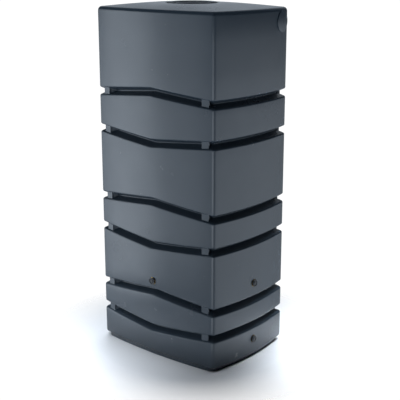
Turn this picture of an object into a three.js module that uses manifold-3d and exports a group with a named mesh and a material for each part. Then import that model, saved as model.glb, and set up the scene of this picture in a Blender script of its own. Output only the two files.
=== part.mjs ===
// Tall rectangular rain tank: a hollow moulded body banded by six chevron grooves,
// a screw lid on its filler neck, and three threaded outlets closed by screw plugs.
// Millimetres, +Z up. The origin is on the floor under the middle of the tank.
// The wide front face looks along -Y and the narrow side with two outlets along +X.
import * as THREE from 'three';
import { mergeVertices } from 'three/addons/utils/BufferGeometryUtils.js';
import Module from 'manifold-3d';

const wasm = await Module();
wasm.setup();

// ---- driving dimensions -------------------------------------------------------------
const TANK_WIDTH = 775;          // along X, between the middles of the bulged narrow sides
const TANK_DEPTH = 585;          // along Y, between the middles of the bulged wide faces
const FACE_BULGE = 24;           // how far a wide face stands out at its middle
const SIDE_BULGE = 30;           // how far a narrow side stands out at its middle
const CORNER_RADIUS = 20;
const INNER_CORNER_RADIUS = 6;   // smallest corner radius, at the floor of a groove
const RIM_HEIGHT = 1660;         // top edge of the walls
const CROWN_HEIGHT = 1678;       // highest ring of the crown, round the lid
const NECK_HEIGHT = 1672;        // flat seat round the filler opening, set into the crown
const CROWN_MIDDLE = 0.4;        // share of the way to the neck of one ring on the crown
const WALL = 4.5;

// Grooves: height of each at the tank's corners, and how far its middle is pushed up or
// down on the wide faces. On the narrow sides a groove stays level.
const GROOVE_HEIGHTS = [171, 300, 593, 747, 1085, 1263];
const CHEVRON_RISE = 30;
const GROOVE_DEPTH = 38;
const GROOVE_MOUTH = 25;         // half of the opening at the outer surface
const GROOVE_LIP = 17.5;         // half opening just inside the rounded lips
const GROOVE_LIP_DEPTH = 4.5;
const GROOVE_THROAT = 15.5;      // half opening at the posts' faces
const GROOVE_FLOOR = 2.5;        // half height of the floor
const POST_DEPTH = 8;            // how far the bridging posts sit behind the surface
const POST_START = 19;           // the posts' place, measured from the corner's arc
const POST_END = 56;
const POST_DRAFT = 4;            // run of the posts' sloping sides
const FACE_STATION = 210;        // one plan point between the post and the middle

// Foot: a plinth set back under the lowest band, with rounder corners.
const PLINTH_HEIGHT = 18;
const PLINTH_FACE_INSET = 8;
const PLINTH_SIDE_INSET = 16;
const PLINTH_CORNER = 40;
const FOOT_CHAMFER = 3;
const EDGE_ROUND = 12;           // rounding of the lowest band's bottom edge
const EDGE_MIDDLE = 3.5;         // how far the rounding has turned in half way round
const RIM_ROUND = 20;            // rounding of the body's top edge
const RIM_MIDDLE = 5.9;

// Filler neck and screw lid.
const CROWN_RADIUS = 125;
const SEAT_RADIUS = 122;
const NECK_BORE = 100;
const NECK_LENGTH = 30;
const LID_RADIUS = 118;
const LID_SKIRT_RADIUS = 97.5;
const LID_SKIRT_LENGTH = 22;
const LID_EDGE = 7;
const LID_PLATE = 4;
const LID_DISH_RADIUS = 91;
const LID_DISH_DEPTH = 14;
const LID_ROUND = 2.5;           // rounding of the flange's edges
const GRIP_WIDTH = 26;
const GRIP_DROP = 1;             // the grip bar's top below the flange's top
const NOTCH_RADIUS = 9;
const NOTCH_COUNT = 4;
const SEAL_THICKNESS = 2;
const SEAL_WIDTH = 11;
const SEAL_INSET = 1;            // from the bore to the seal's inner edge

// Threaded outlets, in the millimetres of a 3/4 inch pipe thread.
const OUTLET_HEIGHT = 383;
const DRAIN_HEIGHT = 97;
const INSERT_RADIUS = 15;
const INSERT_FLANGE = 17.5;
const INSERT_FLANGE_DEPTH = 2;
const INSERT_PROUD = 0.1;        // the insert's face ahead of the wall's
const INSERT_LENGTH = 18;
const THREAD_BORE = 12.6;
const PLUG_STEM = 12.1;
const PLUG_REACH = 12;
const PLUG_HEAD = 16.8;
const PLUG_HEAD_HEIGHT = 5;
const PLUG_HEX = 8;
const PLUG_RIM = 3;              // width of the rim round the dish in a plug's head
const PLUG_DISH = 2.5;
const PLUG_BEVEL = 1;
const BOSS_RADIUS = 22;          // moulded boss behind the wall that holds an insert
const BOSS_LENGTH = 16;
const RING_RADIUS = 14.6;        // sealing ring under a plug's head
const RING_HALF = 0.9;
const RING_MIDDLE = 1.3;         // height of the ring's middle off the wall
const RING_SIDES = 6;

// Flat round pad for a downpipe connector, high on the narrow side near its far end.
const PAD_RADIUS = 49;
const PAD_HEIGHT = 1596;
const PAD_Y = 206;
const PAD_PROUD = 4;             // ahead of the bulged side
const PAD_ROOT = 16;             // the pad's whole thickness, into the wall

const GAP = 0.3;                 // clearance between touching pieces
const ROUND_STEPS = 24;

// ---- materials ----------------------------------------------------------------------
function material(color, roughness, metalness = 0) {
  return new THREE.MeshStandardMaterial({ color, roughness, metalness });
}
const slatePlastic = material(0x4a5662, 0.42);
const lidPlastic = material(0x434e59, 0.45);
const plugPlastic = material(0x2f363d, 0.5);
const brass = material(0xb08d4a, 0.35, 1);
const rubber = material(0x1b1c1e, 0.8);

// ---- solids -------------------------------------------------------------------------
function solidFromArrays(positions, triangles) {
  return new wasm.Manifold(new wasm.Mesh({
    numProp: 3,
    vertProperties: Float32Array.from(positions),
    triVerts: Uint32Array.from(triangles),
  }));
}

function solidFromGeometry(source) {
  const bare = source.clone();
  bare.deleteAttribute('normal');
  bare.deleteAttribute('uv');
  const merged = mergeVertices(bare, 1e-3);
  return solidFromArrays(merged.attributes.position.array, merged.index.array);
}

function geometryFromSolid(solid) {
  const mesh = solid.getMesh();
  const geometry = new THREE.BufferGeometry();
  const positions = new Float32Array(mesh.vertProperties);
  geometry.setAttribute('position', new THREE.BufferAttribute(positions, 3));
  geometry.setIndex(new THREE.BufferAttribute(new Uint32Array(mesh.triVerts), 1));
  geometry.computeVertexNormals();
  return geometry;
}

// A turned solid about Z from (radius, height) points that run anticlockwise.
function turned(profile, steps = ROUND_STEPS) {
  const points = profile.map(([radius, height]) => new THREE.Vector2(radius, height));
  const lathe = new THREE.LatheGeometry(points, steps);
  lathe.rotateX(Math.PI / 2);
  return lathe;
}

// A closed body through rings of points, from the lowest ring to the highest.
function lofted(rings) {
  const count = rings[0].length;
  const centre = (ring) => [0, 0, ring.reduce((sum, point) => sum + point[2], 0) / count];
  const positions = [...rings.flat(2), ...centre(rings[0]), ...centre(rings.at(-1))];
  const bottom = rings.length * count;
  const top = bottom + 1;
  const triangles = [];
  for (let k = 0; k < count; k += 1) {
    const next = (k + 1) % count;
    for (let r = 0; r + 1 < rings.length; r += 1) {
      const low = r * count;
      const high = low + count;
      triangles.push(low + k, low + next, high + next);
      triangles.push(low + k, high + next, high + k);
    }
    const last = (rings.length - 1) * count;
    triangles.push(bottom, next, k);
    triangles.push(top, last + k, last + next);
  }
  return solidFromArrays(positions, triangles);
}

// ---- plan of the tank ---------------------------------------------------------------
// Each wall is an arc, and each corner a small arc that meets its two walls smoothly.
// The quarter with x > 0 and y < 0 is worked out, and the others mirror it.
function cornerRadiusAt(inset) {
  return Math.max(CORNER_RADIUS - inset, INNER_CORNER_RADIUS);
}

function quarterArcs(inset, sideInset = inset, cornerRadius = cornerRadiusAt(inset)) {
  const faceChord = TANK_WIDTH / 2 - SIDE_BULGE;
  const sideChord = TANK_DEPTH / 2 - FACE_BULGE;
  const faceRadius = (faceChord ** 2 + FACE_BULGE ** 2) / (2 * FACE_BULGE);
  const sideRadius = (sideChord ** 2 + SIDE_BULGE ** 2) / (2 * SIDE_BULGE);
  const face = new THREE.Vector2(0, faceRadius - TANK_DEPTH / 2);
  const side = new THREE.Vector2(TANK_WIDTH / 2 - sideRadius, 0);
  const fromFace = faceRadius - inset - cornerRadius;
  const fromSide = sideRadius - sideInset - cornerRadius;
  const span = face.distanceTo(side);
  const toSide = side.clone().sub(face).divideScalar(span);
  const along = (fromFace ** 2 - fromSide ** 2 + span ** 2) / (2 * span);
  const across = Math.sqrt(fromFace ** 2 - along ** 2);
  const corner = new THREE.Vector2(
    face.x + along * toSide.x - across * toSide.y,
    face.y + along * toSide.y + across * toSide.x,
  );
  const faceTilt = Math.atan2(corner.x - face.x, face.y - corner.y);
  const sideTilt = Math.atan2(side.y - corner.y, corner.x - side.x);
  return {
    face: { centre: face, radius: faceRadius - inset, from: 0, to: faceTilt },
    corner: { centre: corner, radius: cornerRadius, from: faceTilt, to: Math.PI / 2 - sideTilt },
    side: {
      centre: side,
      radius: sideRadius - sideInset,
      from: Math.PI / 2 - sideTilt,
      to: Math.PI / 2,
    },
  };
}

// Angles run from -Y towards +X.
function arcPoint({ centre, radius, from, to }, share) {
  const angle = from + share * (to - from);
  return [centre.x + radius * Math.sin(angle), centre.y - radius * Math.cos(angle)];
}

const outerArcs = quarterArcs(0);
const faceLength = outerArcs.face.radius * outerArcs.face.to;

// How deep a groove may go at this distance from the corner's arc: a post bridges it.
function postLimit(distance) {
  const clear = Math.max(POST_START - distance, distance - POST_END, 0);
  const slope = (GROOVE_DEPTH - POST_DEPTH) / POST_DRAFT;
  return Math.min(POST_DEPTH + clear * slope, GROOVE_DEPTH);
}

function faceStation(distance) {
  return {
    arc: 'face',
    share: 1 - distance / faceLength,
    rise: distance / faceLength,
    limit: postLimit(distance),
  };
}

function plainStation(arc, share) {
  return { arc, share, rise: 0, limit: GROOVE_DEPTH };
}

// Plan points of one quarter, from the middle of a wide face to the middle of a side.
const quarterStations = [
  faceStation(faceLength),
  faceStation(FACE_STATION),
  faceStation(POST_END + POST_DRAFT),
  faceStation(POST_END),
  faceStation(POST_START),
  faceStation(POST_START - POST_DRAFT),
  faceStation(0),
  plainStation('corner', 0.5),
  plainStation('corner', 1),
  plainStation('side', 0.5),
  plainStation('side', 1),
];

// The whole outline runs anticlockwise from the middle of the front face.
function mirrored(stations, signX, signY) {
  return stations.slice(0, -1).map((station) => ({ ...station, signX, signY }));
}
const stations = [
  ...mirrored(quarterStations, 1, 1),
  ...mirrored([...quarterStations].reverse(), 1, -1),
  ...mirrored(quarterStations, -1, -1),
  ...mirrored([...quarterStations].reverse(), -1, 1),
];

function planPoint(station, arcs) {
  const [x, y] = arcPoint(arcs[station.arc], station.share);
  return [x * station.signX, y * station.signY];
}

// A ring round the tank at one inset from its outer surface. On a groove's rings the
// height follows the chevron, and the posts limit the depth.
function levelRing(height, inset) {
  const arcs = quarterArcs(inset);
  return stations.map((station) => [...planPoint(station, arcs), height]);
}

function plinthRing(height, inset) {
  const arcs = quarterArcs(PLINTH_FACE_INSET + inset, PLINTH_SIDE_INSET + inset, PLINTH_CORNER);
  return stations.map((station) => [...planPoint(station, arcs), height]);
}

function grooveRing(height, rise, depth, wall) {
  return stations.map((station) => [
    ...planPoint(station, quarterArcs(Math.min(depth, station.limit) + wall)),
    height + rise * station.rise,
  ]);
}

// A ring part of the way from the tank's edge to the round seat of the filler neck.
function crownRing(share, edge, seatRadius, seatHeight) {
  return edge.map(([x, y, z], k) => {
    const angle = (2 * Math.PI * k) / edge.length;
    return [
      THREE.MathUtils.lerp(x, seatRadius * Math.sin(angle), share),
      THREE.MathUtils.lerp(y, -seatRadius * Math.cos(angle), share),
      z + (seatHeight - z) * Math.sin((share * Math.PI) / 2),
    ];
  });
}

// Half a groove's section as [half opening, depth], from the surface to the floor.
const grooveSection = [
  [GROOVE_MOUTH, 0],
  [GROOVE_LIP, GROOVE_LIP_DEPTH],
  [GROOVE_THROAT, POST_DEPTH],
  [GROOVE_FLOOR, GROOVE_DEPTH],
];
const cavitySection = [
  [GROOVE_MOUTH + WALL, 0],
  [GROOVE_FLOOR + WALL, GROOVE_DEPTH],
];

function grooveRings(section, wall) {
  const below = section.map(([half, depth]) => [-half, depth]);
  const above = [...section].reverse();
  return GROOVE_HEIGHTS.flatMap((height, index) => {
    const rise = index % 2 === 1 ? CHEVRON_RISE : -CHEVRON_RISE;
    return [...below, ...above].map(([offset, depth]) =>
      grooveRing(height + offset, rise, depth, wall));
  });
}

// ---- moulded tank body --------------------------------------------------------------
function tankOutside() {
  const edge = levelRing(RIM_HEIGHT, RIM_ROUND);
  return lofted([
    plinthRing(0, FOOT_CHAMFER),
    plinthRing(FOOT_CHAMFER, 0),
    plinthRing(PLINTH_HEIGHT, 0),
    levelRing(PLINTH_HEIGHT + EDGE_MIDDLE, EDGE_MIDDLE),
    levelRing(PLINTH_HEIGHT + EDGE_ROUND, 0),
    ...grooveRings(grooveSection, 0),
    levelRing(RIM_HEIGHT - RIM_ROUND, 0),
    levelRing(RIM_HEIGHT - RIM_MIDDLE, RIM_MIDDLE),
    edge,
    crownRing(CROWN_MIDDLE, edge, CROWN_RADIUS, CROWN_HEIGHT),
    crownRing(1, edge, CROWN_RADIUS, CROWN_HEIGHT),
    crownRing(1, edge, SEAT_RADIUS, NECK_HEIGHT),
  ]);
}

function tankInside() {
  const edge = levelRing(RIM_HEIGHT - WALL, RIM_ROUND + WALL);
  return lofted([
    plinthRing(WALL, FOOT_CHAMFER + WALL),
    plinthRing(PLINTH_HEIGHT + WALL, WALL),
    levelRing(PLINTH_HEIGHT + EDGE_ROUND + WALL, WALL),
    ...grooveRings(cavitySection, WALL),
    levelRing(RIM_HEIGHT - RIM_ROUND - WALL, WALL),
    edge,
    crownRing(CROWN_MIDDLE, edge, CROWN_RADIUS + WALL, CROWN_HEIGHT - WALL),
    crownRing(1, edge, CROWN_RADIUS + WALL, CROWN_HEIGHT - WALL),
    crownRing(1, edge, SEAT_RADIUS - WALL, NECK_HEIGHT - WALL),
  ]);
}

function cylinder(radius, low, high) {
  return turned([[0, low], [radius, low], [radius, high], [0, high]]);
}

// The outlets: where each sits on the outer surface, and the turn that points its
// own +Z straight out of the wall.
const outwardFront = new THREE.Euler(Math.PI / 2, 0, 0);
const outwardSide = new THREE.Euler(0, Math.PI / 2, 0);
const outlets = [
  { name: 'front', place: [0, -TANK_DEPTH / 2, OUTLET_HEIGHT], turn: outwardFront },
  { name: 'side', place: [TANK_WIDTH / 2, 0, OUTLET_HEIGHT], turn: outwardSide },
  { name: 'drain', place: [TANK_WIDTH / 2, 0, DRAIN_HEIGHT], turn: outwardSide },
];

function placed(geometry, { place, turn }) {
  const matrix = new THREE.Matrix4().makeRotationFromEuler(turn).setPosition(...place);
  return geometry.clone().applyMatrix4(matrix);
}

// The downpipe pad lies parallel to the bulged side where it sits.
function downpipePad() {
  const { centre, radius } = outerArcs.side;
  const tilt = Math.asin(PAD_Y / radius);
  const reach = radius + PAD_PROUD;
  return placed(cylinder(PAD_RADIUS, -PAD_ROOT, 0), {
    place: [centre.x + reach * Math.cos(tilt), reach * Math.sin(tilt), PAD_HEIGHT],
    turn: new THREE.Euler(0, Math.PI / 2, tilt, 'ZYX'),
  });
}

function tankShell() {
  let shell = tankOutside().add(solidFromGeometry(downpipePad()));
  shell = shell.subtract(tankInside());
  const neckBottom = NECK_HEIGHT - NECK_LENGTH;
  const neck = cylinder(NECK_BORE + WALL, neckBottom, NECK_HEIGHT - WALL / 2);
  const bore = cylinder(NECK_BORE, neckBottom - WALL, NECK_HEIGHT + WALL);
  shell = shell.add(solidFromGeometry(neck)).subtract(solidFromGeometry(bore));
  const boss = cylinder(BOSS_RADIUS, -BOSS_LENGTH, -WALL / 2);
  const hole = cylinder(INSERT_RADIUS + GAP, -BOSS_LENGTH - WALL, WALL);
  const pocket = cylinder(INSERT_FLANGE + GAP, -INSERT_FLANGE_DEPTH - GAP, WALL);
  for (const outlet of outlets) {
    shell = shell.add(solidFromGeometry(placed(boss, outlet)));
    shell = shell.subtract(solidFromGeometry(placed(hole, outlet)));
    shell = shell.subtract(solidFromGeometry(placed(pocket, outlet)));
  }
  return geometryFromSolid(shell);
}

// ---- screw lid ----------------------------------------------------------------------
const lidSeat = NECK_HEIGHT + SEAL_THICKNESS + 2 * GAP;
const lidTop = lidSeat + LID_EDGE;

// A flanged cup: its skirt screws into the neck, and a bar across the dish turns it.
function screwLid() {
  const dishFloor = lidTop - LID_DISH_DEPTH;
  const skirtBottom = lidSeat - LID_SKIRT_LENGTH;
  const skirtInside = LID_SKIRT_RADIUS - LID_PLATE;
  const cup = turned([
    [0, dishFloor - LID_PLATE],
    [skirtInside, dishFloor - LID_PLATE],
    [skirtInside, skirtBottom],
    [LID_SKIRT_RADIUS, skirtBottom],
    [LID_SKIRT_RADIUS, lidSeat],
    [LID_RADIUS, lidSeat],
    [LID_RADIUS, lidTop - LID_ROUND],
    [LID_RADIUS - LID_ROUND, lidTop],
    [LID_DISH_RADIUS + LID_ROUND, lidTop],
    [LID_DISH_RADIUS, lidTop - LID_ROUND],
    [LID_DISH_RADIUS - LID_ROUND, dishFloor],
    [0, dishFloor],
  ], 2 * ROUND_STEPS);
  const barHeight = LID_DISH_DEPTH + LID_PLATE / 2 - GRIP_DROP;
  const bar = new THREE.BoxGeometry(2 * LID_DISH_RADIUS, GRIP_WIDTH, barHeight);
  bar.rotateZ(Math.PI / 4);
  bar.translate(0, 0, lidTop - GRIP_DROP - barHeight / 2);
  let lid = solidFromGeometry(cup).add(solidFromGeometry(bar));
  for (let k = 0; k < NOTCH_COUNT; k += 1) {
    const angle = (2 * Math.PI * k) / NOTCH_COUNT;
    const notch = cylinder(NOTCH_RADIUS, lidSeat - GAP, lidTop + GAP);
    const reach = LID_RADIUS + NOTCH_RADIUS / 3;
    notch.translate(reach * Math.cos(angle), reach * Math.sin(angle), 0);
    lid = lid.subtract(solidFromGeometry(notch));
  }
  return geometryFromSolid(lid);
}

function lidSeal() {
  const low = NECK_HEIGHT + GAP;
  const high = low + SEAL_THICKNESS;
  const inner = NECK_BORE + SEAL_INSET;
  const outer = inner + SEAL_WIDTH;
  return turned([[outer, low], [outer, high], [inner, high], [inner, low], [outer, low]],
    2 * ROUND_STEPS);
}

// ---- outlets: each along its own +Z, with the wall's outer surface at 0 -------------
function threadedInsert() {
  return turned([
    [INSERT_FLANGE, -INSERT_FLANGE_DEPTH],
    [INSERT_FLANGE, INSERT_PROUD],
    [THREAD_BORE, INSERT_PROUD],
    [THREAD_BORE, -INSERT_LENGTH],
    [INSERT_RADIUS, -INSERT_LENGTH],
    [INSERT_RADIUS, -INSERT_FLANGE_DEPTH],
    [INSERT_FLANGE, -INSERT_FLANGE_DEPTH],
  ]);
}

const headSeat = RING_MIDDLE + RING_HALF + GAP;

function sealingRing() {
  const section = [];
  for (let k = 0; k < RING_SIDES; k += 1) {
    const angle = (2 * Math.PI * k) / RING_SIDES;
    section.push([
      RING_RADIUS + RING_HALF * Math.cos(angle),
      RING_MIDDLE + RING_HALF * Math.sin(angle),
    ]);
  }
  return turned([...section, section[0]]);
}

function screwPlug() {
  const headTop = headSeat + PLUG_HEAD_HEIGHT;
  const dishFloor = headTop - PLUG_DISH;
  const rimInside = PLUG_HEAD - PLUG_RIM;
  const body = turned([
    [0, -PLUG_REACH],
    [PLUG_STEM - PLUG_BEVEL, -PLUG_REACH],
    [PLUG_STEM, PLUG_BEVEL - PLUG_REACH],
    [PLUG_STEM, headSeat],
    [PLUG_HEAD, headSeat],
    [PLUG_HEAD, headTop - PLUG_BEVEL],
    [PLUG_HEAD - PLUG_BEVEL, headTop],
    [rimInside, headTop],
    [rimInside - PLUG_BEVEL / 2, dishFloor],
    [0, dishFloor],
  ]);
  const drive = turned([
    [0, dishFloor - PLUG_BEVEL],
    [PLUG_HEX, dishFloor - PLUG_BEVEL],
    [PLUG_HEX, headTop - PLUG_BEVEL / 2],
    [PLUG_HEX - PLUG_BEVEL, headTop],
    [0, headTop],
  ], 6);
  return geometryFromSolid(solidFromGeometry(body).add(solidFromGeometry(drive)));
}

// ---- assembly -----------------------------------------------------------------------
function piece(name, geometry, finish) {
  const mesh = new THREE.Mesh(geometry, finish);
  mesh.name = name;
  return mesh;
}

const tank = new THREE.Group();
tank.add(piece('tank_shell', tankShell(), slatePlastic));
tank.add(piece('lid', screwLid(), lidPlastic));
tank.add(piece('lid_seal', lidSeal(), rubber));
for (const { name, place, turn } of outlets) {
  const outlet = new THREE.Group();
  outlet.position.set(...place);
  outlet.rotation.copy(turn);
  outlet.add(piece(`${name}_insert`, threadedInsert(), brass));
  outlet.add(piece(`${name}_seal`, sealingRing(), rubber));
  outlet.add(piece(`${name}_plug`, screwPlug(), plugPlastic));
  tank.add(outlet);
}

export default tank;
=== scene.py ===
"""Tall rectangular rain tank: the fine surface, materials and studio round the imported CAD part."""
import math

import bmesh
import bpy
import numpy as np
from mathutils import Matrix, Vector

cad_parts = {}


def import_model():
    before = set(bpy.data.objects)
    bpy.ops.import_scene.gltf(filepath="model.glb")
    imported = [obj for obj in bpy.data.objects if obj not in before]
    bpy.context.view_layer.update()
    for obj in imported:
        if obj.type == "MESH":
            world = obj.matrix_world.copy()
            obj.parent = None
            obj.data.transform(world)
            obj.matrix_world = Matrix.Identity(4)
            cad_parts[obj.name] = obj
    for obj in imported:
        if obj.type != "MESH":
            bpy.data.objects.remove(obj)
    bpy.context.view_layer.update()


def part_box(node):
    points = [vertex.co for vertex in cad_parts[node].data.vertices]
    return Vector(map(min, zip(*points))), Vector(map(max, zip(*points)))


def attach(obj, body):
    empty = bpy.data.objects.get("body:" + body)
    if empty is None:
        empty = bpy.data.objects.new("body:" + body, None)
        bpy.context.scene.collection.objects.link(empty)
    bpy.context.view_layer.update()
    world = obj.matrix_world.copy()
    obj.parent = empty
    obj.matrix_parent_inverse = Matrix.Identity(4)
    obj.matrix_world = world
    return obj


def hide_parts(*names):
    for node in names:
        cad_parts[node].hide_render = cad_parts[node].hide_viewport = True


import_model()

MM = 0.001

# ---- the tank's dimensions, as in the CAD, in metres ----------------------------------
shell_low, shell_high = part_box("tank_shell")
HALF_WIDTH = (shell_high.x - shell_low.x) / 2
HALF_DEPTH = (shell_high.y - shell_low.y) / 2
CROWN_HEIGHT = 1678 * MM
NECK_HEIGHT = 1672 * MM
RIM_HEIGHT = 1660 * MM
FACE_BULGE = 24 * MM
SIDE_BULGE = 30 * MM
CORNER_RADIUS = 20 * MM
INNER_CORNER_RADIUS = 6 * MM
WALL = 4.5 * MM
GROOVE_HEIGHTS = [h * MM for h in (171, 300, 593, 747, 1085, 1263)]
CHEVRON_RISE = 30 * MM
CHEVRON_ROUND = 8 * MM           # softness of the chevron's bend in the middle of a wide face
GROOVE_DEPTH = 38 * MM
GROOVE_MOUTH = 25 * MM           # half of the opening, where the lips begin to turn in
LIP_RADIUS = 9 * MM
GROOVE_FLOOR = 2.5 * MM          # radius of the rounded floor
POST_DEPTH = 8 * MM
POST_START = 19 * MM
POST_END = 56 * MM
POST_SLOPE = 6.0                 # depth gained for each metre beyond a post's edge
POST_ROUND = 1.6 * MM
PLINTH_HEIGHT = 18 * MM
PLINTH_FACE_INSET = 8 * MM
PLINTH_SIDE_INSET = 16 * MM
PLINTH_CORNER = 40 * MM
FOOT_ROUND = 3 * MM
EDGE_ROUND = 12 * MM
RIM_ROUND = 20 * MM
CROWN_RADIUS = 125 * MM
CROWN_ROUND = 2 * MM             # rounding of the step down to the lid's seat
SEAT_RADIUS = 122 * MM
NECK_BORE = 100 * MM
NECK_LENGTH = 30 * MM
NECK_LIP = 2.5 * MM
LID_PITCH = 12 * MM
LID_THREAD = 1.8 * MM            # depth of the thread in the neck and on the lid's skirt
BOSS_RADIUS = 22 * MM
BOSS_LENGTH = 16 * MM
INSERT_RADIUS = 15 * MM
INSERT_FLANGE = 17.5 * MM
INSERT_LENGTH = 18 * MM
INSERT_FLANGE_DEPTH = 2 * MM
INSERT_PROUD = 0.1 * MM
THREAD_BORE = 12.6 * MM
PIPE_PITCH = 2.31 * MM
PIPE_THREAD = 0.9 * MM
PAD_RADIUS = 49 * MM
PAD_Y = 206 * MM
PAD_HEIGHT = 1596 * MM
PAD_PROUD = 4 * MM
PAD_ROOT = 7 * MM                # the pad's whole thickness, into the wall
PAD_EDGE = 1.6 * MM


# ---- mesh helpers ---------------------------------------------------------------------
def mesh_object(name, vertices, faces, material):
    mesh = bpy.data.meshes.new(name)
    mesh.from_pydata([tuple(v) for v in vertices], [], [tuple(f) for f in faces])
    mesh.materials.append(material)
    piece = bpy.data.objects.new(name, mesh)
    bpy.context.scene.collection.objects.link(piece)
    return piece


def ring_faces(rings, count, closed=False):
    """Quads between rings of `count` points each, and back to the first ring if closed."""
    spans = rings if closed else rings - 1
    ring = np.repeat(np.arange(spans), count)
    place = np.tile(np.arange(count), spans)
    low, high = ring * count, (ring + 1) % rings * count
    following = (place + 1) % count
    return np.stack([low + place, low + following, high + following, high + place], axis=1)


def turned(name, profile, material, steps=96, shaped=None):
    """A solid turned about Z from (radius, height) points that run anticlockwise round its
    section. `shaped` gives each point's radius from (radius, height, angle), as for a thread."""
    angles = np.linspace(0, 2 * math.pi, steps, endpoint=False)
    profile = np.array(profile)
    radius = np.repeat(profile[:, :1], steps, axis=1)
    height = np.repeat(profile[:, 1:], steps, axis=1)
    if shaped:
        radius = shaped(radius, height, angles[None, :])
    vertices = np.stack([radius * np.cos(angles), radius * np.sin(angles), height], axis=2)
    faces = ring_faces(len(profile), steps, closed=True)
    piece = mesh_object(name, vertices.reshape(-1, 3), faces, material)
    weld(piece)
    return piece


def weld(piece, distance=1e-6):
    """Merges points that coincide, such as those on the axis, and drops the empty faces."""
    bm = bmesh.new()
    bm.from_mesh(piece.data)
    bmesh.ops.remove_doubles(bm, verts=bm.verts, dist=distance)
    bmesh.ops.dissolve_degenerate(bm, edges=bm.edges, dist=distance)
    bm.to_mesh(piece.data)
    bm.free()


def rounded(profile, radius, steps=3):
    """The profile with every corner off the axis replaced by a small arc."""
    points = [Vector(p) for p in profile]
    finished = []
    for index, point in enumerate(points):
        before, after = points[index - 1], points[(index + 1) % len(points)]
        back, ahead = (before - point), (after - point)
        if point.x < 1e-9:
            finished.append(point)
            continue
        reach = min(radius, back.length / 2.2, ahead.length / 2.2)
        start, end = point + back.normalized() * reach, point + ahead.normalized() * reach
        for share in np.linspace(0, 1, steps + 1):
            near = start.lerp(point, share)
            finished.append(near.lerp(point.lerp(end, share), share))
    return [tuple(p) for p in finished]


def cylinder(name, radius, low, high, steps=96, edge=0.0):
    profile = [(0, low), (radius, low), (radius, high), (0, high)]
    return turned(name, rounded(profile, edge) if edge else profile, None, steps)


def combine(piece, tools, operation):
    """Boolean of piece with the tools, which are then thrown away."""
    for tool in tools:
        modifier = piece.modifiers.new(operation.lower(), "BOOLEAN")
        modifier.object = tool
        modifier.operation = operation
        modifier.solver = "EXACT"
    graph = bpy.context.evaluated_depsgraph_get()
    finished = bpy.data.meshes.new_from_object(piece.evaluated_get(graph))
    piece.modifiers.clear()
    piece.data = finished
    for tool in tools:
        bpy.data.objects.remove(tool)


def smooth(piece, degrees):
    """Smooth shading, with the edges sharper than this angle kept crisp."""
    bm = bmesh.new()
    bm.from_mesh(piece.data)
    limit = math.radians(degrees)
    for face in bm.faces:
        face.smooth = True
    for edge in bm.edges:
        edge.smooth = len(edge.link_faces) == 2 and edge.calc_face_angle(0) < limit
    bm.to_mesh(piece.data)
    bm.free()


def moved(piece, matrix):
    piece.data.transform(matrix)
    return piece


# ---- plan of the tank -----------------------------------------------------------------
FACE, CORNER, SIDE = 0, 1, 2
FACE_CHORD = HALF_WIDTH - SIDE_BULGE
SIDE_CHORD = HALF_DEPTH - FACE_BULGE
FACE_RADIUS = (FACE_CHORD**2 + FACE_BULGE**2) / (2 * FACE_BULGE)
SIDE_RADIUS = (SIDE_CHORD**2 + SIDE_BULGE**2) / (2 * SIDE_BULGE)


def quarter_arcs(face_inset, side_inset, corner_radius):
    """Centre, radius and end angles of the three arcs of a quarter outline. All take arrays."""
    face = np.array([0, FACE_RADIUS - HALF_DEPTH])
    side = np.array([HALF_WIDTH - SIDE_RADIUS, 0])
    from_face = FACE_RADIUS - face_inset - corner_radius
    from_side = SIDE_RADIUS - side_inset - corner_radius
    span = np.linalg.norm(side - face)
    to_side = (side - face) / span
    along = (from_face**2 - from_side**2 + span**2) / (2 * span)
    across = np.sqrt(from_face**2 - along**2)
    corner_x = face[0] + along * to_side[0] - across * to_side[1]
    corner_y = face[1] + along * to_side[1] + across * to_side[0]
    face_tilt = np.arctan2(corner_x - face[0], face[1] - corner_y)
    side_tilt = np.pi / 2 - np.arctan2(side[1] - corner_y, corner_x - side[0])
    return [
        (face[0], face[1], FACE_RADIUS - face_inset, 0, face_tilt),
        (corner_x, corner_y, corner_radius, face_tilt, side_tilt),
        (side[0], side[1], SIDE_RADIUS - side_inset, side_tilt, np.pi / 2),
    ]


outer_face = quarter_arcs(0, 0, CORNER_RADIUS)[FACE]
FACE_LENGTH = float(outer_face[2] * outer_face[4])


def quarter_stations():
    """Rows of (arc, share of the arc, distance from the corner) from the middle of a wide face
    to the middle of a narrow side. The points are closest at the posts and at the chevron."""
    at_corner = np.array([0, 3, 6, 9, 12])
    post_start = np.array([14, 15, 16, 17, 18, 19, 20, 22, 26])
    post_end = np.array([32, 40, 48, 53, 55, 56, 57, 58, 59, 60, 61, 64, 70, 80])
    distances = np.concatenate([at_corner, post_start, post_end, np.arange(94, 326, 16)]) * MM
    at_chevron = FACE_LENGTH - np.array([22, 16, 11, 7, 4, 2, 0]) * MM
    distances = np.concatenate([distances, at_chevron])[::-1]
    face = [(FACE, 1 - d / FACE_LENGTH, d) for d in distances]
    corner = [(CORNER, s, -1) for s in np.linspace(0, 1, 11)[1:]]
    side = [(SIDE, s, -1) for s in np.linspace(0, 1, 15)[1:]]
    return np.array(face + corner + side)


def outline_stations():
    """The whole outline, anticlockwise from the middle of the front face, with mirror signs."""
    quarter = quarter_stations()
    parts = []
    for rows, sign_x, sign_y in (
        (quarter, 1, 1), (quarter[::-1], 1, -1), (quarter, -1, -1), (quarter[::-1], -1, 1),
    ):
        signs = np.tile([sign_x, sign_y], (len(rows) - 1, 1))
        parts.append(np.hstack([rows[:-1], signs]))
    return np.vstack(parts)


STATIONS = outline_stations()
COUNT = len(STATIONS)
DISTANCE = STATIONS[:, 2]
ON_FACE = DISTANCE >= 0


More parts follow.
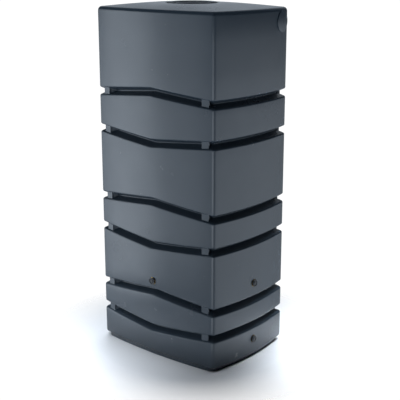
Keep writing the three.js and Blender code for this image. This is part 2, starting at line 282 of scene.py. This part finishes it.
def outline(arcs):
    """x and y of every station on the given arcs."""
    x, y = np.empty(COUNT), np.empty(COUNT)
    for kind, (centre_x, centre_y, radius, start, end) in enumerate(arcs):
        angle = start + STATIONS[:, 1] * (end - start)
        here = STATIONS[:, 0] == kind
        x[here] = (centre_x + radius * np.sin(angle))[here]
        y[here] = (centre_y - radius * np.cos(angle))[here]
    return x * STATIONS[:, 3], y * STATIONS[:, 4]


def chevron():
    """Share of the chevron's rise at each station: 0 at the corners, 1 in the middle."""
    from_middle = FACE_LENGTH - np.where(ON_FACE, DISTANCE, 0)
    bent = np.sqrt(from_middle**2 + CHEVRON_ROUND**2) - CHEVRON_ROUND / 2
    return np.where(ON_FACE, np.clip(1 - bent / FACE_LENGTH, 0, 1), 0)


def post_limit():
    """How deep a groove may go at each station."""
    clear = np.maximum(np.maximum(POST_START - DISTANCE, DISTANCE - POST_END), 0)
    return np.where(ON_FACE, POST_DEPTH + clear * POST_SLOPE, 2 * GROOVE_DEPTH)


RISE = chevron()
LIMIT = post_limit()


def soft_minimum(a, b, width):
    """The smaller of a and b, with the crease between them rounded over about this width."""
    blend = np.clip(0.5 + (b - a) / (2 * width), 0, 1)
    return b * (1 - blend) + a * blend - width * blend * (1 - blend)


# ---- moulded tank body ----------------------------------------------------------------
def groove_section():
    """(offset, depth) points across a groove from its lower lip to its upper lip: rounded lips,
    drafted walls and a rounded floor."""
    lip_end = GROOVE_DEPTH - LIP_RADIUS
    draft = math.atan2(GROOVE_MOUTH - LIP_RADIUS - GROOVE_FLOOR, lip_end)
    turn = math.pi / 2 - draft
    half = [
        (GROOVE_MOUTH - LIP_RADIUS * math.sin(a), LIP_RADIUS * (1 - math.cos(a)))
        for a in np.linspace(0, turn, 9)
    ]
    floor = [
        (GROOVE_FLOOR * math.cos(a), GROOVE_DEPTH - GROOVE_FLOOR * (1 - math.sin(a)))
        for a in np.linspace(draft, math.pi / 2, 5)
    ]
    start, end = np.array(half[-1]), np.array(floor[0])
    half += [tuple(start + (end - start) * share) for share in (0.12, 0.3, 0.55, 0.8)] + floor
    lower = [(-offset, depth) for offset, depth in half]
    return lower + half[-2::-1]


def level_ring(height, inset):
    """The outline at one height, this far inside the outer surface."""
    radius = max(CORNER_RADIUS - inset, INNER_CORNER_RADIUS)
    x, y = outline(quarter_arcs(inset, inset, radius))
    return np.stack([x, y, np.full(COUNT, height)], axis=1)


def plinth_ring(height, inset):
    face, side = PLINTH_FACE_INSET + inset, PLINTH_SIDE_INSET + inset
    x, y = outline(quarter_arcs(face, side, PLINTH_CORNER))
    return np.stack([x, y, np.full(COUNT, height)], axis=1)


def groove_ring(height, rise, depth, wall=0.0):
    """A ring that follows the chevron, cut in by the depth except where the posts limit it."""
    cut = soft_minimum(np.full(COUNT, depth), LIMIT, POST_ROUND) if depth else np.zeros(COUNT)
    inset = cut + wall
    radius = np.maximum(CORNER_RADIUS - inset, INNER_CORNER_RADIUS)
    x, y = outline(quarter_arcs(inset, inset, radius))
    return np.stack([x, y, height + rise * RISE], axis=1)


def rise_of(index):
    return CHEVRON_RISE if index % 2 else -CHEVRON_RISE


def band_rings(below, above):
    """Two rings part of the way up a band, between the groove below it and the one above."""
    rings = []
    for share in (1 / 3, 2 / 3):
        height = GROOVE_HEIGHTS[below] * (1 - share) + GROOVE_HEIGHTS[above] * share
        rise = rise_of(below) * (1 - share) + rise_of(above) * share
        rings.append(groove_ring(height, rise, 0))
    return rings


def foot_rings():
    """The rounded foot, the plinth, the crease over it and the rounded edge of the lowest band."""
    rings = []
    for angle in np.linspace(0, math.pi / 2, 4):
        height = FOOT_ROUND * (1 - math.cos(angle))
        rings.append(plinth_ring(height, FOOT_ROUND * (1 - math.sin(angle))))
    crease = 3 * MM
    for below, inset in ((3, 0), (1.6, 0.6), (0.9, 2)):
        rings.append(plinth_ring(PLINTH_HEIGHT - below * MM, inset * MM))
    rings.append(plinth_ring(PLINTH_HEIGHT - 0.6 * MM, crease))
    for angle in np.linspace(0.17, math.pi / 2, 8):
        height = PLINTH_HEIGHT + EDGE_ROUND * (1 - math.cos(angle))
        rings.append(level_ring(height, EDGE_ROUND * (1 - math.sin(angle))))
    return rings


def wall_rings():
    """The grooves and the bands between them, up to the rounded rim."""
    section = groove_section()
    rings = []
    for index, height in enumerate(GROOVE_HEIGHTS):
        if index:
            rings += band_rings(index - 1, index)
        rings += [groove_ring(height + offset, rise_of(index), depth) for offset, depth in section]
    start, top = GROOVE_HEIGHTS[-1], RIM_HEIGHT - RIM_ROUND
    last_rise = rise_of(len(GROOVE_HEIGHTS) - 1)
    for share in (0.35, 0.7):
        rings.append(groove_ring(start + (top - start) * share, last_rise * (1 - share), 0))
    for angle in np.linspace(0, math.pi / 2 * 0.94, 9):
        height = RIM_HEIGHT - RIM_ROUND * (1 - math.sin(angle))
        rings.append(level_ring(height, RIM_ROUND * (1 - math.cos(angle))))
    return rings


ROUND = 2 * math.pi * np.arange(COUNT) / COUNT - math.pi / 2


def circle_ring(radius, height):
    """A circle with one point for each station, so that it joins the outline's rings."""
    radius = np.broadcast_to(radius, (COUNT,))
    return np.stack([
        radius * np.cos(ROUND), radius * np.sin(ROUND), np.full(COUNT, height)], axis=1)


def crown_rings(edge, radius, height, steps):
    """From the tank's edge up to a circle round the lid, without the edge itself."""
    seat = circle_ring(radius, height)
    rings = []
    for share in np.linspace(0, 1, steps + 1)[1:]:
        ring = edge + (seat - edge) * share
        ring[:, 2] = edge[:, 2] + (height - edge[:, 2]) * math.sin(share * math.pi / 2)
        rings.append(ring)
    return rings


def thread(height, angle, pitch):
    """How far a right-handed thread stands out, 0 to 1, at a height and angle."""
    phase = (height / pitch - angle / (2 * math.pi)) % 1
    return np.clip(1.6 - 4 * np.abs(phase - 0.5), 0, 1)


def neck_rings():
    """Down the step to the lid's seat, round the lip, down the threaded bore, and back up
    outside its wall."""
    rings = []
    for angle in np.linspace(0, math.pi / 2, 5)[1:]:
        radius = CROWN_RADIUS + CROWN_ROUND * (1 - math.sin(angle)) - CROWN_ROUND / 2
        rings.append(circle_ring(radius, CROWN_HEIGHT - CROWN_ROUND * (1 - math.cos(angle))))
    rings.append(circle_ring(SEAT_RADIUS + 0.6 * MM, NECK_HEIGHT + 0.6 * MM))
    rings.append(circle_ring(SEAT_RADIUS, NECK_HEIGHT))
    rings.append(circle_ring(NECK_BORE + NECK_LIP, NECK_HEIGHT))
    for angle in np.linspace(0, math.pi / 2, 5)[1:]:
        radius = NECK_BORE + NECK_LIP * (1 - math.sin(angle))
        rings.append(circle_ring(radius, NECK_HEIGHT - NECK_LIP * (1 - math.cos(angle))))
    bottom = NECK_HEIGHT - NECK_LENGTH
    for height in np.arange(NECK_HEIGHT - 4 * MM, bottom + 2 * MM, -1.5 * MM):
        groove = LID_THREAD * thread(height, ROUND, LID_PITCH)
        rings.append(circle_ring(NECK_BORE + groove, height))
    rings += [circle_ring(NECK_BORE, bottom), circle_ring(NECK_BORE + WALL, bottom)]
    rings.append(circle_ring(NECK_BORE + WALL, NECK_HEIGHT - WALL))
    return rings


def inner_rings():
    """The cavity, from the neck's root down to the floor of the tank."""
    edge = level_ring(RIM_HEIGHT - WALL, RIM_ROUND + WALL)
    rings = [circle_ring(SEAT_RADIUS - WALL, NECK_HEIGHT - WALL)]
    rings += crown_rings(edge, CROWN_RADIUS + WALL, CROWN_HEIGHT - WALL, 3)[::-1] + [edge]
    rings.append(level_ring(RIM_HEIGHT - RIM_ROUND - WALL, WALL))
    wide = GROOVE_MOUTH + WALL
    narrow = GROOVE_FLOOR + WALL
    section = [(wide, 0), (narrow, GROOVE_DEPTH), (-narrow, GROOVE_DEPTH), (-wide, 0)]
    for index in reversed(range(len(GROOVE_HEIGHTS))):
        for offset, depth in section:
            height = GROOVE_HEIGHTS[index] + offset
            rings.append(groove_ring(height, rise_of(index), depth, WALL))
    rings.append(level_ring(PLINTH_HEIGHT + EDGE_ROUND + WALL, WALL))
    rings.append(plinth_ring(PLINTH_HEIGHT + WALL, WALL))
    rings.append(plinth_ring(WALL, FOOT_ROUND + WALL))
    return rings


def outlet_matrix(name):
    """From an outlet's own frame, +Z out of the wall, to the tank's."""
    outward = Vector((0, -1, 0)) if name == "front" else Vector((1, 0, 0))
    low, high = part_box(name + "_insert")
    middle = (low + high) / 2
    place = Vector((0, -HALF_DEPTH, middle.z) if name == "front" else (HALF_WIDTH, 0, middle.z))
    return Matrix.Translation(place) @ outward.to_track_quat("Z", "Y").to_matrix().to_4x4()


def pad_matrix():
    """From the pad's own frame to the tank's, parallel to the bulged side where it sits."""
    tilt = math.asin(PAD_Y / SIDE_RADIUS)
    reach = SIDE_RADIUS + PAD_PROUD
    place = (HALF_WIDTH - SIDE_RADIUS + reach * math.cos(tilt), reach * math.sin(tilt), PAD_HEIGHT)
    turn = Matrix.Rotation(tilt, 4, "Z") @ Matrix.Rotation(math.pi / 2, 4, "Y")
    return Matrix.Translation(place) @ turn


OUTLETS = ("front", "side", "drain")
CLEARANCE = 0.3 * MM


def tank_body(material):
    outside = foot_rings() + wall_rings()
    rings = outside + crown_rings(outside[-1], CROWN_RADIUS + CROWN_ROUND, CROWN_HEIGHT, 8)
    rings += neck_rings() + inner_rings()
    faces = [tuple(f) for f in ring_faces(len(rings), COUNT)]
    last = (len(rings) - 1) * COUNT
    faces.append(tuple(range(COUNT))[::-1])
    faces.append(tuple(range(last, last + COUNT)))
    body = mesh_object("tank_body", np.vstack(rings), faces, material)
    pad = cylinder("pad", PAD_RADIUS, -PAD_ROOT, 0, edge=PAD_EDGE)
    added = [moved(pad, pad_matrix())]
    taken = []
    for name in OUTLETS:
        matrix = outlet_matrix(name)
        boss = cylinder("boss", BOSS_RADIUS, -BOSS_LENGTH, -WALL / 2, 64, edge=1 * MM)
        hole = turned("hole", [
            (0, -BOSS_LENGTH - WALL),
            (INSERT_RADIUS + CLEARANCE, -BOSS_LENGTH - WALL),
            (INSERT_RADIUS + CLEARANCE, -INSERT_FLANGE_DEPTH - CLEARANCE),
            (INSERT_FLANGE + CLEARANCE, -INSERT_FLANGE_DEPTH - CLEARANCE),
            (INSERT_FLANGE + CLEARANCE, -0.5 * MM),
            (INSERT_FLANGE + 6 * CLEARANCE, 1 * MM),
            (INSERT_FLANGE + 6 * CLEARANCE, WALL),
            (0, WALL),
        ], None, 64)
        added.append(moved(boss, matrix))
        taken.append(moved(hole, matrix))
    combine(body, added, "UNION")
    combine(body, taken, "DIFFERENCE")
    body.data.materials.clear()
    body.data.materials.append(material)
    smooth(body, 32)
    return body


# ---- screw lid and its seal -----------------------------------------------------------
lid_low, lid_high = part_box("lid")
LID_TOP = lid_high.z
LID_RADIUS = 118 * MM
LID_EDGE = 7 * MM
LID_SEAT = LID_TOP - LID_EDGE
LID_SKIRT = 97.5 * MM
LID_PLATE = 4 * MM
DISH_RADIUS = 91 * MM
DISH_DEPTH = 14 * MM
GRIP_WIDTH = 26 * MM
NOTCH_DEPTH = 6 * MM
NOTCH_ANGLE = math.radians(4.6)


def lid_shape(radius, height, angle):
    """Finger notches in the flange's edge and the thread on the skirt."""
    from_notch = (angle + math.pi / 4) % (math.pi / 2) - math.pi / 4
    dip = np.where(np.abs(from_notch) < NOTCH_ANGLE,
                   0.5 + 0.5 * np.cos(math.pi * from_notch / NOTCH_ANGLE), 0)
    on_flange = np.clip((radius - 106 * MM) / (8 * MM), 0, 1)
    on_skirt = (np.abs(radius - LID_SKIRT) < 0.1 * MM) & (height < LID_SEAT - 3 * MM)
    groove = np.where(on_skirt, LID_THREAD * (1 - thread(height, angle, LID_PITCH)), 0)
    return radius - NOTCH_DEPTH * dip * on_flange - groove


def screw_lid(material):
    dish = LID_TOP - DISH_DEPTH
    skirt_inside = LID_SKIRT - LID_PLATE
    bottom = lid_low.z
    underside = rounded([
        (0, dish - LID_PLATE), (skirt_inside, dish - LID_PLATE), (skirt_inside, bottom)], 1 * MM)
    skirt = [(LID_SKIRT, h) for h in np.arange(bottom + 0.5 * MM, LID_SEAT, 1.2 * MM)]
    flange = rounded([
        (LID_SKIRT, LID_SEAT), (LID_RADIUS, LID_SEAT), (LID_RADIUS, LID_TOP),
        (DISH_RADIUS + 2 * MM, LID_TOP), (DISH_RADIUS - 1 * MM, dish), (0, dish)], 2.6 * MM, 5)
    profile = underside[:-1] + [(skirt_inside, bottom)] + skirt + flange[1:]
    lid = turned("screw_lid", profile, material, 288, lid_shape)
    height = DISH_DEPTH + LID_PLATE / 2 - 1 * MM
    bar = rounded_box("bar", (2 * DISH_RADIUS, GRIP_WIDTH, height), 3 * MM)
    place = Matrix.Translation((0, 0, LID_TOP - 1 * MM - height / 2))
    moved(bar, place @ Matrix.Rotation(math.pi / 4, 4, "Z"))
    combine(lid, [bar], "UNION")
    smooth(lid, 40)
    return lid


def rounded_box(name, size, radius):
    bm = bmesh.new()
    bmesh.ops.create_cube(bm, size=1)
    bmesh.ops.scale(bm, vec=size, verts=bm.verts)
    bmesh.ops.bevel(bm, geom=bm.edges, offset=radius, segments=4, profile=0.5, affect="EDGES")
    mesh = bpy.data.meshes.new(name)
    bm.to_mesh(mesh)
    bm.free()
    box = bpy.data.objects.new(name, mesh)
    bpy.context.scene.collection.objects.link(box)
    return box


def lid_gasket(material):
    low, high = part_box("lid_seal")
    inner, outer = 101 * MM, (high.x - low.x) / 2
    profile = rounded([(inner, low.z), (outer, low.z), (outer, high.z), (inner, high.z)], 0.6 * MM)
    gasket = turned("lid_gasket", profile, material, 144)
    smooth(gasket, 40)
    return gasket


# ---- outlet pieces, each along its own +Z with the wall's outer surface at 0 ------------
def brass_insert(name, material):
    outer = rounded([
        (INSERT_RADIUS, -INSERT_LENGTH), (INSERT_RADIUS, -INSERT_FLANGE_DEPTH),
        (INSERT_FLANGE, -INSERT_FLANGE_DEPTH), (INSERT_FLANGE, INSERT_PROUD),
        (THREAD_BORE, INSERT_PROUD)], 0.4 * MM)
    inside = [(THREAD_BORE, h) for h in np.arange(-0.8 * MM, -INSERT_LENGTH, -PIPE_PITCH / 6)]

    def shaped(radius, height, angle):
        in_bore = (np.abs(radius - THREAD_BORE) < 0.01 * MM) & (height < -0.5 * MM)
        root = PIPE_THREAD * thread(height, angle, PIPE_PITCH)
        knurl = 0.15 * MM * (1 + np.cos(60 * angle))
        on_outside = (radius > INSERT_RADIUS - 0.01 * MM) & (height < -2.5 * MM)
        return radius + np.where(in_bore, root, 0) - np.where(on_outside, knurl, 0)

    insert = turned(name, outer + inside, material, 120, shaped)
    smooth(insert, 50)
    return insert


def sealing_ring(name, material):
    middle, radius, half = 1.3 * MM, 14.6 * MM, 0.9 * MM
    section = [
        (radius + half * math.cos(a), middle + 0.86 * half * math.sin(a))
        for a in np.linspace(0, 2 * math.pi, 16, endpoint=False)
    ]
    ring = turned(name, section, material, 96)
    smooth(ring, 60)
    return ring


def screw_plug(name, material):
    seat, head, reach, stem = 2.5 * MM, 16.8 * MM, 12 * MM, 12.1 * MM
    top = seat + 5 * MM
    dish = top - 2.5 * MM
    threaded = [(stem, h) for h in np.arange(-reach + 0.6 * MM, 0.6 * MM, PIPE_PITCH / 6)]
    profile = [(0, -reach), (stem - 1.4 * MM, -reach)] + threaded + rounded([
        (stem, seat), (head, seat), (head, top), (head - 3 * MM, top),
        (head - 3.6 * MM, dish), (0, dish)], 0.9 * MM, 4)[1:]

    def shaped(radius, height, angle):
        on_stem = (np.abs(radius - stem) < 0.01 * MM) & (height < 0.6 * MM)
        root = PIPE_THREAD * (1 - thread(height, angle, PIPE_PITCH))
        grip = 0.25 * MM * (1 - np.cos(36 * angle))
        on_head = (radius > head - 0.3 * MM) & (height > seat) & (height < top)
        return radius - np.where(on_stem, root, 0) - np.where(on_head, grip, 0)

    plug = turned(name, profile, material, 144, shaped)
    drive = cylinder("drive", 8 * MM, dish - 1 * MM, top - 0.3 * MM, 6, edge=0.5 * MM)
    combine(plug, [drive], "UNION")
    smooth(plug, 40)
    return plug


# ---- materials ------------------------------------------------------------------------
def shader(tree, kind):
    return next(node for node in tree.nodes if node.type == kind)


class Nodes:
    """Builds a material's node tree: each call adds a node, sets its inputs, returns its output."""

    def __init__(self, name):
        self.material = bpy.data.materials.new(name)
        self.material.use_nodes = True
        self.tree = self.material.node_tree
        self.surface = shader(self.tree, "BSDF_PRINCIPLED")
        self.position = self.add("ShaderNodeTexCoord").outputs["Object"]

    def add(self, kind, **settings):
        node = self.tree.nodes.new(kind)
        for key, value in settings.items():
            setattr(node, key, value)
        return node

    def link(self, source, target):
        self.tree.links.new(source, target)

    def noise(self, scale, detail=3, roughness=0.5, vector=None):
        node = self.add("ShaderNodeTexNoise")
        node.inputs["Scale"].default_value = scale
        node.inputs["Detail"].default_value = detail
        node.inputs["Roughness"].default_value = roughness
        self.link(vector or self.position, node.inputs["Vector"])
        return node.outputs["Fac"]

    def stretched(self, x, y, z):
        node = self.add("ShaderNodeMapping")
        node.inputs["Scale"].default_value = (x, y, z)
        self.link(self.position, node.inputs["Vector"])
        return node.outputs["Vector"]

    def ranged(self, value, low, high, to_low, to_high):
        node = self.add("ShaderNodeMapRange")
        for name, number in (("From Min", low), ("From Max", high),
                             ("To Min", to_low), ("To Max", to_high)):
            node.inputs[name].default_value = number
        self.link(value, node.inputs["Value"])
        return node.outputs["Result"]

    def mixed(self, factor, first, second):
        node = self.add("ShaderNodeMix", data_type="RGBA")
        self.link(factor, node.inputs["Factor"])
        for index, colour in ((6, first), (7, second)):
            if isinstance(colour, tuple):
                node.inputs[index].default_value = (*colour, 1)
            else:
                self.link(colour, node.inputs[index])
        return node.outputs[2]

    def bump(self, height, distance, strength=1.0, normal=None):
        node = self.add("ShaderNodeBump")
        node.inputs["Distance"].default_value = distance
        node.inputs["Strength"].default_value = strength
        self.link(height, node.inputs["Height"])
        if normal:
            self.link(normal, node.inputs["Normal"])
        return node.outputs["Normal"]

    def worn_edges(self):
        """1 on sharp convex edges and 0 elsewhere, broken up by noise."""
        pointed = self.ranged(self.add("ShaderNodeNewGeometry").outputs["Pointiness"],
                              0.53, 0.62, 0, 1)
        patches = self.ranged(self.noise(38, 4), 0.42, 0.66, 0, 1)
        node = self.add("ShaderNodeMath", operation="MULTIPLY")
        self.link(pointed, node.inputs[0])
        self.link(patches, node.inputs[1])
        return node.outputs[0]


def scaled(colour, factor):
    return tuple(factor * channel for channel in colour)


def moulded_plastic(name, colour, roughness, grain, wear):
    """Satin moulded polyethylene: a cloudy colour, a fine pebbled grain, an uneven gloss and,
    with wear, slightly paler rubbed edges."""
    n = Nodes(name)
    clouds = n.ranged(n.noise(2.2, 4, 0.6), 0.35, 0.65, 0, 1)
    base = n.mixed(clouds, scaled(colour, 0.93), scaled(colour, 1.07))
    speckle = n.ranged(n.noise(900, 2), 0.35, 0.75, 0, 0.12)
    dusted = n.mixed(speckle, base, scaled(colour, 2.2))
    if wear:
        rubbed = n.ranged(n.worn_edges(), 0, 1, 0, wear)
        dusted = n.mixed(rubbed, dusted, scaled(colour, 2.0))
    n.link(dusted, n.surface.inputs["Base Color"])
    gloss = n.ranged(n.noise(7, 5, 0.6), 0.3, 0.7, roughness - 0.03, roughness + 0.03)
    n.link(gloss, n.surface.inputs["Roughness"])
    waves = n.bump(n.noise(11, 2), 0.3 * MM, 0.5)
    pebbles = n.bump(n.noise(750, 3, 0.6), grain, 1.0, waves)
    n.link(pebbles, n.surface.inputs["Normal"])
    return n.material


def black_rubber():
    n = Nodes("seal_rubber")
    bloom = n.ranged(n.noise(60, 4), 0.35, 0.7, 0, 1)
    n.link(n.mixed(bloom, (0.012, 0.012, 0.013), (0.026, 0.026, 0.027)),
           n.surface.inputs["Base Color"])
    n.link(n.ranged(bloom, 0, 1, 0.62, 0.8), n.surface.inputs["Roughness"])
    n.link(n.bump(n.noise(1500, 3), 0.03 * MM), n.surface.inputs["Normal"])
    return n.material


def machined_brass():
    n = Nodes("insert_brass")
    n.surface.inputs["Metallic"].default_value = 1
    tarnish = n.ranged(n.noise(130, 5, 0.65), 0.4, 0.7, 0, 1)
    n.link(n.mixed(tarnish, (0.60, 0.42, 0.17), (0.33, 0.22, 0.10)),
           n.surface.inputs["Base Color"])
    n.link(n.ranged(tarnish, 0, 1, 0.24, 0.5), n.surface.inputs["Roughness"])
    tool_marks = n.noise(1, 2, 0.5, n.stretched(300, 300, 5000))
    n.link(n.bump(tool_marks, 0.01 * MM), n.surface.inputs["Normal"])
    return n.material


TANK_PLASTIC = moulded_plastic("tank_plastic", (0.030, 0.042, 0.056), 0.25, 0.05 * MM, 0)
LID_PLASTIC = moulded_plastic("lid_plastic", (0.026, 0.036, 0.047), 0.38, 0.03 * MM, 0.35)
PLUG_PLASTIC = moulded_plastic("plug_plastic", (0.006, 0.008, 0.011), 0.42, 0.02 * MM, 0.35)
SEAL_RUBBER = black_rubber()
INSERT_BRASS = machined_brass()


# ---- the pieces ride the frame's bodies ------------------------------------------------
def install(piece, body, node):
    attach(piece, body)
    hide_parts(node)


install(tank_body(TANK_PLASTIC), "tank", "tank_shell")
install(lid_gasket(SEAL_RUBBER), "lid_seal", "lid_seal")
install(screw_lid(LID_PLASTIC), "lid", "lid")
for outlet in OUTLETS:
    place = outlet_matrix(outlet)
    fitted = brass_insert(outlet + "_brass_insert", INSERT_BRASS)
    install(moved(fitted, place), "tank", outlet + "_insert")
    ring = sealing_ring(outlet + "_sealing_ring", SEAL_RUBBER)
    install(moved(ring, place), outlet + "_seal", outlet + "_seal")
    plug = screw_plug(outlet + "_screw_plug", PLUG_PLASTIC)
    install(moved(plug, place), outlet + "_plug", outlet + "_plug")


# ---- studio ---------------------------------------------------------------------------
CAMERA_PLACE = Vector((2.825, -3.273, 1.892))
CAMERA_YAW = math.radians(40.3)
CAMERA_PITCH = math.radians(15.12)
CAMERA_LENS = 81.73
FLOOR_RADIUS = 2.5
COOL = (0.86, 0.95, 1.05)        # tint of the studio's light
WHITE = (1.05, 1.05, 1.05, 1)


def camera():
    data = bpy.data.cameras.new("camera")
    data.lens = CAMERA_LENS
    data.sensor_width = 36
    view = bpy.data.objects.new("camera", data)
    view.location = CAMERA_PLACE
    view.rotation_euler = (math.pi / 2 - CAMERA_PITCH, 0, CAMERA_YAW)
    bpy.context.scene.collection.objects.link(view)
    bpy.context.scene.camera = view


def floor():
    """A pale paper floor that fades into the white surround."""
    n = Nodes("floor_paper")
    n.surface.inputs["Base Color"].default_value = (0.93, 0.91, 0.90, 1)
    n.surface.inputs["Roughness"].default_value = 0.3
    distance = n.add("ShaderNodeVectorMath", operation="LENGTH")
    n.link(n.position, distance.inputs[0])
    fade = n.ranged(distance.outputs["Value"], 0.5, 0.86, 1, 0)
    n.link(fade, n.surface.inputs["Alpha"])
    angles = np.linspace(0, 2 * math.pi, 96, endpoint=False)
    vertices = [(FLOOR_RADIUS * math.cos(a), FLOOR_RADIUS * math.sin(a), 0) for a in angles]
    mesh_object("floor", vertices, [tuple(range(96))], n.material)


def area_light(name, size, power):
    data = bpy.data.lights.new(name, "AREA")
    data.shape = "RECTANGLE"
    data.size, data.size_y = size
    data.energy = power
    data.color = COOL
    lamp = bpy.data.objects.new(name, data)
    bpy.context.scene.collection.objects.link(lamp)
    return lamp


def softbox(name, azimuth, elevation, distance, size, power, height=0.85):
    """An area light that faces the tank. Azimuth 0 is before the wide face, 90 beside +X."""
    lamp = area_light(name, size, power)
    a, e = math.radians(azimuth), math.radians(elevation)
    away = Vector((math.sin(a) * math.cos(e), -math.cos(a) * math.cos(e), math.sin(e)))
    lamp.location = Vector((0, 0, height)) + away * distance
    lamp.rotation_mode = "QUATERNION"
    lamp.rotation_quaternion = away.to_track_quat("Z", "Y")
    return lamp


def floor_light(name, x, y, z, size, power, spread):
    """A narrow light that faces straight down and brightens the floor beside the tank."""
    lamp = area_light(name, (size, size), power)
    lamp.location = (x, y, z)
    lamp.data.spread = spread


def world(above, below, before, aside, behind):
    """White behind the object. A dark room surrounds it above the horizon and a pale far floor
    below, with its own brightness before the near corner, beyond the narrow side and beyond
    the back."""
    surround = bpy.data.worlds.new("studio")
    bpy.context.scene.world = surround
    surround.use_nodes = True
    tree = surround.node_tree
    add, link = tree.nodes.new, tree.links.new
    direction = add("ShaderNodeTexCoord").outputs["Generated"]

    def graded(vector, low, high):
        """0 to 1 as the direction turns towards the vector."""
        along, grade = add("ShaderNodeVectorMath"), add("ShaderNodeMapRange")
        along.operation = "DOT_PRODUCT"
        along.inputs[1].default_value = vector
        grade.inputs["From Min"].default_value = low
        grade.inputs["From Max"].default_value = high
        link(direction, along.inputs[0])
        link(along.outputs["Value"], grade.inputs["Value"])
        return grade.outputs["Result"]

    def mixed(factor, first, second):
        mix = add("ShaderNodeMix")
        mix.data_type = "RGBA"
        link(factor, mix.inputs["Factor"])
        for index, colour in ((6, first), (7, second)):
            if isinstance(colour, float):
                mix.inputs[index].default_value = (*scaled(COOL, colour), 1)
            elif isinstance(colour, tuple):
                mix.inputs[index].default_value = colour
            else:
                link(colour, mix.inputs[index])
        return mix.outputs[2]

    floors = mixed(graded(Vector((0.9, 0.43, 0)), 0.6, 0.98), below, aside)
    floors = mixed(graded(Vector((0.26, -0.97, 0)), 0.82, 0.95), floors, before)
    room = mixed(graded(Vector((0, 0, 1)), -0.13, -0.05), floors, above)
    room = mixed(graded(Vector((-0.64, 0.77, 0)), 0.65, 0.9), room, behind)
    camera_ray = add("ShaderNodeLightPath").outputs["Is Camera Ray"]
    seen = mixed(camera_ray, room, WHITE)
    link(seen, shader(tree, "BACKGROUND").inputs["Color"])


camera()
floor()
world(above=0.0, below=0.6, before=3.0, aside=1.75, behind=0.55)
softbox("left", -72, 0, 3.4, (2.4, 3.6), 21)
softbox("front_left", -48, 0, 3.6, (1.2, 3.6), 38)
softbox("front", -28, 0, 3.8, (1.2, 3.6), 14)
softbox("back_high", 216, 60, 4.0, (3.0, 3.0), 160).visible_glossy = False
floor_light("floor_right", 1.25, 0.75, 2.0, 0.9, 50, 0.9)
floor_light("floor_front", -0.85, -2.0, 2.6, 1.6, 122, 1.0)
bpy.context.scene.view_settings.view_transform = "Standard"
